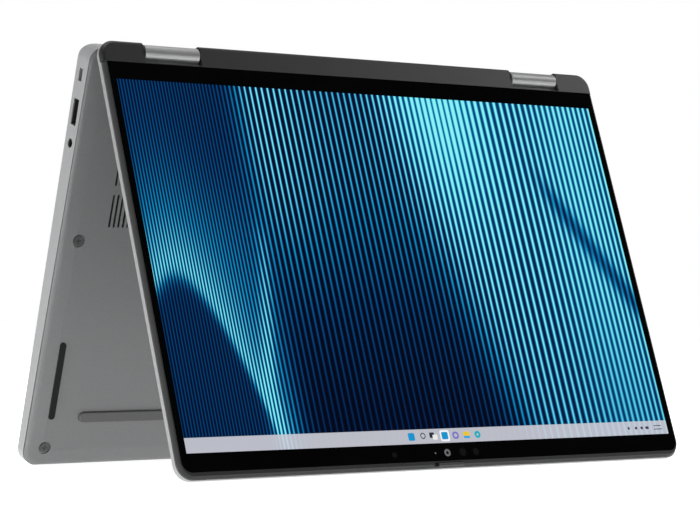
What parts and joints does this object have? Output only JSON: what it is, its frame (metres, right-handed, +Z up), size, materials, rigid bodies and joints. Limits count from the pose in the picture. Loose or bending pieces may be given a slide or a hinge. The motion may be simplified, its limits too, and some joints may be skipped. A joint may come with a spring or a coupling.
{
  "type": "laptop computer",
  "caption": "Slim convertible laptop standing as a tent, screen outward, with silver case, round-the-back geared hinges, keyboard, touchpad, feet and side sockets.",
  "frame": {"origin": "on the floor, under the middle of the box round the tent", "axes": "+X to the right of a person who faces the screen, -Y towards that person, +Z up from the floor"},
  "size_m": [0.313, 0.1592, 0.2097],
  "materials": {
    "case_silver": "satin",
    "cover_grey": "satin",
    "lid_silver": "satin",
    "frame_rubber": "matte",
    "strip_plastic": "satin",
    "barrel_metal": "satin",
    "hinge_steel": "satin",
    "clear_glass": "gloss",
    "picture": "gloss",
    "lens_black": "gloss",
    "shutter_grey": "matte",
    "foot_rubber": "matte",
    "key_plastic": "matte",
    "tray_black": "matte",
    "pad_grey": "satin",
    "battery_black": "matte",
    "board_green": "satin",
    "dark_plastic": "matte",
    "copper": "satin",
    "port_metal": "satin",
    "screw_steel": "satin"
  },
  "bodies": {
    "base": {"top_case": "case_silver", "bottom_cover": "cover_grey", "bottom_screws": "screw_steel", "front_foot": "foot_rubber", "rear_foot": "foot_rubber", "side_feet": "foot_rubber", "keyboard_tray": "tray_black", "touchpad_frame": "hinge_steel", "battery_pack": "battery_black", "main_board": "board_green", "io_board": "board_green", "fan_housing": "dark_plastic", "cooling_fins": "copper", "heat_pipe": "copper", "ssd_module": "board_green", "wireless_card": "board_green", "speakers": "dark_plastic", "usb_a_port": "port_metal", "audio_jack": "dark_plastic", "lock_plate": "port_metal", "usb_c_ports": "port_metal", "hdmi_port": "port_metal", "exhaust_grille": "dark_plastic", "base_hinge_brackets": "hinge_steel", "base_shafts": "hinge_steel", "base_gears": "hinge_steel"},
    "barrels": {"hinge_barrels": "barrel_metal", "barrel_end_plates": "hinge_steel"},
    "base_side_idler_pair": {"base_side_idlers": "hinge_steel"},
    "lid_side_idler_pair": {"lid_side_idlers": "hinge_steel"},
    "lid": {"lid_cover": "lid_silver", "lid_frame": "frame_rubber", "hinge_strip": "strip_plastic", "screen_glass": "clear_glass", "lcd_panel": "picture", "camera_module": "lens_black", "microphones": "port_metal", "antennas": "copper", "lid_hinge_brackets": "hinge_steel", "lid_shafts": "hinge_steel", "lid_gears": "hinge_steel"},
    "shutter": {"camera_shutter": "shutter_grey"},
    "impeller": {"fan_impeller": "dark_plastic"},
    "pad": {"touchpad": "pad_grey"},
    "function_keys_body": {"function_keys": "key_plastic"},
    "power_button_body": {"power_button": "key_plastic"},
    "number_keys_body": {"number_keys": "key_plastic"},
    "backspace_key_body": {"backspace_key": "key_plastic"},
    "upper_letter_keys_body": {"upper_letter_keys": "key_plastic"},
    "home_letter_keys_body": {"home_letter_keys": "key_plastic"},
    "enter_key_body": {"enter_key": "key_plastic"},
    "left_shift_key_body": {"left_shift_key": "key_plastic"},
    "lower_letter_keys_body": {"lower_letter_keys": "key_plastic"},
    "right_shift_key_body": {"right_shift_key": "key_plastic"},
    "control_keys_body": {"control_keys": "key_plastic"},
    "space_bar_body": {"space_bar": "key_plastic"},
    "left_arrow_key_body": {"left_arrow_key": "key_plastic"},
    "up_arrow_key_body": {"up_arrow_key": "key_plastic"},
    "down_arrow_key_body": {"down_arrow_key": "key_plastic"},
    "right_arrow_key_body": {"right_arrow_key": "key_plastic"}
  },
  "joints": [
    {"name": "base_hinge", "type": "hinge", "parent": "base", "child": "barrels", "pos_m": [0, 0.00858, 0.20434], "axis": [1, 0, 0], "range_deg": [-161.35, 18.65]},
    {"name": "lid_hinge", "type": "hinge", "parent": "barrels", "child": "lid", "pos_m": [0, -0.00282, 0.20459], "axis": [1, 0, 0], "range_deg": [-161.35, 18.65]},
    {"name": "base_side_idler_turn", "type": "hinge", "parent": "barrels", "child": "base_side_idler_pair", "pos_m": [0, 0.00478, 0.20442], "axis": [1, 0, 0], "range_deg": [-161.4, 18.7]},
    {"name": "lid_side_idler_turn", "type": "hinge", "parent": "barrels", "child": "lid_side_idler_pair", "pos_m": [0, 0.00098, 0.20451], "axis": [1, 0, 0], "range_deg": [-18.7, 161.4]},
    {"name": "shutter_slide", "type": "slide", "parent": "lid", "child": "shutter", "axis": [1, 0, 0], "range_m": [-0.0025, 0]},
    {"name": "fan_spin", "type": "hinge", "parent": "base", "child": "impeller", "pos_m": [-0.096, 0.02883, 0.14005], "axis": [0, 0.9543, 0.299], "continuous": true},
    {"name": "touchpad_click", "type": "hinge", "parent": "base", "child": "pad", "pos_m": [0, 0.05516, 0.07338], "axis": [-1, 0, 0], "range_deg": [0, 0.4], "stiffness_Nm_per_rad": 8},
    {"name": "function_keys_press", "type": "slide", "parent": "base", "child": "function_keys_body", "axis": [0, -0.9543, -0.299], "range_m": [0, 0.0013], "stiffness_N_per_m": 6900},
    {"name": "power_button_press", "type": "slide", "parent": "base", "child": "power_button_body", "axis": [0, -0.9543, -0.299], "range_m": [0, 0.0006], "stiffness_N_per_m": 900},
    {"name": "number_keys_press", "type": "slide", "parent": "base", "child": "number_keys_body", "axis": [0, -0.9543, -0.299], "range_m": [0, 0.0013], "stiffness_N_per_m": 5980},
    {"name": "backspace_key_press", "type": "slide", "parent": "base", "child": "backspace_key_body", "axis": [0, -0.9543, -0.299], "range_m": [0, 0.0013], "stiffness_N_per_m": 460},
    {"name": "upper_letter_keys_press", "type": "slide", "parent": "base", "child": "upper_letter_keys_body", "axis": [0, -0.9543, -0.299], "range_m": [0, 0.0013], "stiffness_N_per_m": 6440},
    {"name": "home_letter_keys_press", "type": "slide", "parent": "base", "child": "home_letter_keys_body", "axis": [0, -0.9543, -0.299], "range_m": [0, 0.0013], "stiffness_N_per_m": 5520},
    {"name": "enter_key_press", "type": "slide", "parent": "base", "child": "enter_key_body", "axis": [0, -0.9543, -0.299], "range_m": [0, 0.0013], "stiffness_N_per_m": 460},
    {"name": "left_shift_key_press", "type": "slide", "parent": "base", "child": "left_shift_key_body", "axis": [0, -0.9543, -0.299], "range_m": [0, 0.0013], "stiffness_N_per_m": 460},
    {"name": "lower_letter_keys_press", "type": "slide", "parent": "base", "child": "lower_letter_keys_body", "axis": [0, -0.9543, -0.299], "range_m": [0, 0.0013], "stiffness_N_per_m": 4600},
    {"name": "right_shift_key_press", "type": "slide", "parent": "base", "child": "right_shift_key_body", "axis": [0, -0.9543, -0.299], "range_m": [0, 0.0013], "stiffness_N_per_m": 460},
    {"name": "control_keys_press", "type": "slide", "parent": "base", "child": "control_keys_body", "axis": [0, -0.9543, -0.299], "range_m": [0, 0.0013], "stiffness_N_per_m": 2760},
    {"name": "space_bar_press", "type": "slide", "parent": "base", "child": "space_bar_body", "axis": [0, -0.9543, -0.299], "range_m": [0, 0.0013], "stiffness_N_per_m": 460},
    {"name": "left_arrow_key_press", "type": "slide", "parent": "base", "child": "left_arrow_key_body", "axis": [0, -0.9543, -0.299], "range_m": [0, 0.0013], "stiffness_N_per_m": 460},
    {"name": "up_arrow_key_press", "type": "slide", "parent": "base", "child": "up_arrow_key_body", "axis": [0, -0.9543, -0.299], "range_m": [0, 0.0013], "stiffness_N_per_m": 460},
    {"name": "down_arrow_key_press", "type": "slide", "parent": "base", "child": "down_arrow_key_body", "axis": [0, -0.9543, -0.299], "range_m": [0, 0.0013], "stiffness_N_per_m": 460},
    {"name": "right_arrow_key_press", "type": "slide", "parent": "base", "child": "right_arrow_key_body", "axis": [0, -0.9543, -0.299], "range_m": [0, 0.0013], "stiffness_N_per_m": 460}
  ],
  "couplings": [
    {"joint": "lid_hinge", "follows": "base_hinge", "ratio": 1},
    {"joint": "base_side_idler_turn", "follows": "base_hinge", "ratio": 1},
    {"joint": "lid_side_idler_turn", "follows": "base_hinge", "ratio": -1}
  ]
}
